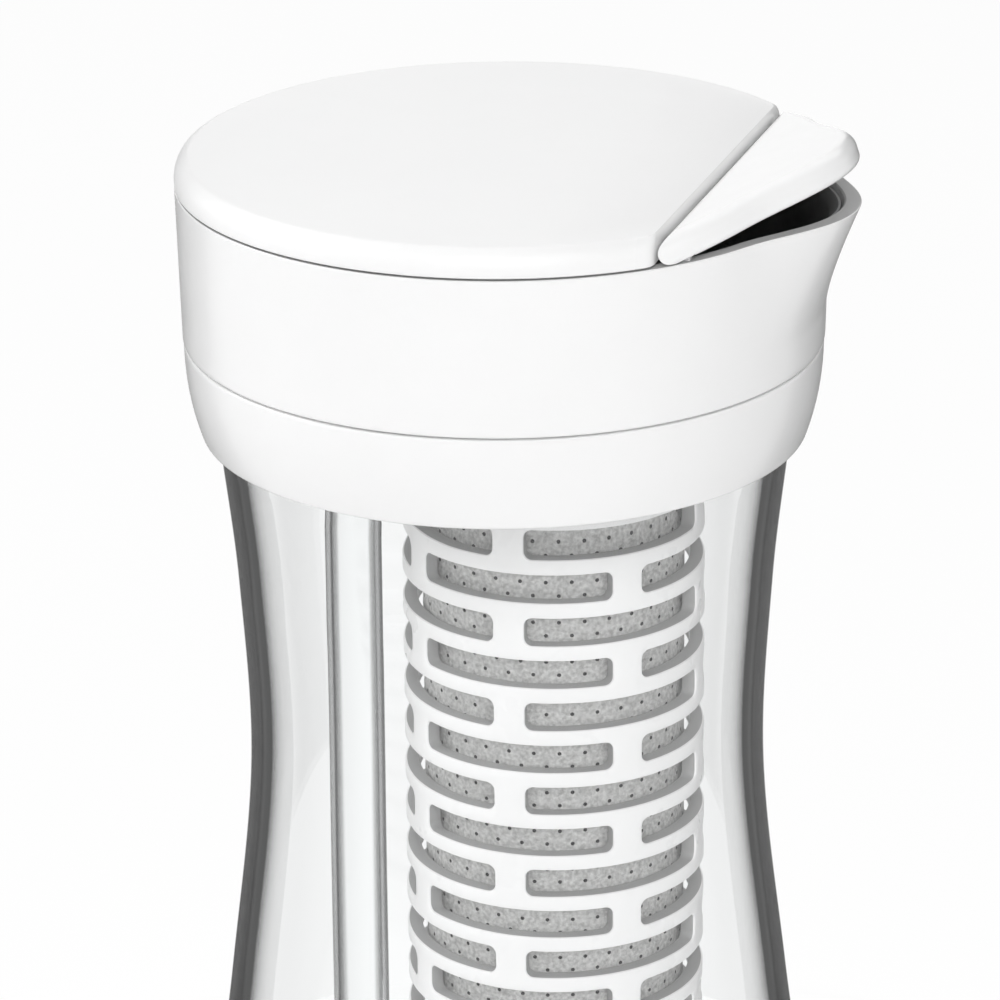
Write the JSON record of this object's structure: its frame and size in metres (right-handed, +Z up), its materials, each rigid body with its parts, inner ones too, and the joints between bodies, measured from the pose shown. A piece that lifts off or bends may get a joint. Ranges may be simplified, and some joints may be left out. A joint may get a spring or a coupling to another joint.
{
  "type": "water filter pitcher",
  "caption": "Waisted glass water filter carafe with a white pouring lid, hinged spout flap, clear air tube and slotted filter holder with a replaceable cartridge.",
  "frame": {"origin": "middle of the bounding box's footprint, on the surface the carafe stands on. The carafe's own axis is at x = -1.55 mm, because the spout reaches further than the belly.", "axes": "+Z up along the carafe's axis, +X toward the tip of the pouring spout"},
  "size_m": [0.111, 0.108, 0.2734],
  "materials": {
    "clear_glass": "clear polished",
    "white_plastic": "moulded, softly glossy",
    "charcoal_plastic": "satin",
    "clear_plastic": "clear extruded",
    "silicone": "translucent matt",
    "black_rubber": "matt",
    "steel": "drawn",
    "sleeve_grey": "speckled, pinholed",
    "carbon": "pressed granules"
  },
  "bodies": {
    "carafe": {"glass_carafe": "clear_glass", "neck_collar": "white_plastic", "collar_band": "silicone"},
    "seal": {"lid_seal": "silicone"},
    "lid": {"lid_housing": "white_plastic", "lid_plug": "white_plastic", "pour_cup": "charcoal_plastic", "top_plate": "white_plastic", "hinge_pin": "steel", "air_tube": "clear_plastic", "tube_grommet": "silicone"},
    "flap": {"spout_flap": "white_plastic"},
    "filter_holder": {"filter_cage": "white_plastic", "holder_head": "white_plastic", "head_ring_1": "black_rubber", "head_ring_2": "black_rubber"},
    "cartridge": {"cartridge_sleeve": "sleeve_grey", "carbon_core": "carbon", "core_tube": "white_plastic", "cartridge_top": "white_plastic", "spigot_ring": "black_rubber", "cartridge_base": "white_plastic"}
  },
  "joints": [
    {"name": "lid_lift", "type": "slide", "parent": "carafe", "child": "seal", "axis": [0, 0, 1], "range_m": [0, 0.225]},
    {"name": "lid_turn", "type": "hinge", "parent": "seal", "child": "lid", "pos_m": [-0.00155, 0, 0.238], "axis": [0, 0, 1], "continuous": true},
    {"name": "flap_hinge", "type": "hinge", "parent": "lid", "child": "flap", "pos_m": [0.03625, 0, 0.2656], "axis": [0, -1, 0], "range_deg": [-18.6, 66.4]},
    {"name": "holder_pull", "type": "slide", "parent": "lid", "child": "filter_holder", "axis": [0, 0, -1], "range_m": [0, 0.025]},
    {"name": "cartridge_out", "type": "slide", "parent": "filter_holder", "child": "cartridge", "axis": [0, 0, -1], "range_m": [0, 0.035]}
  ]
}
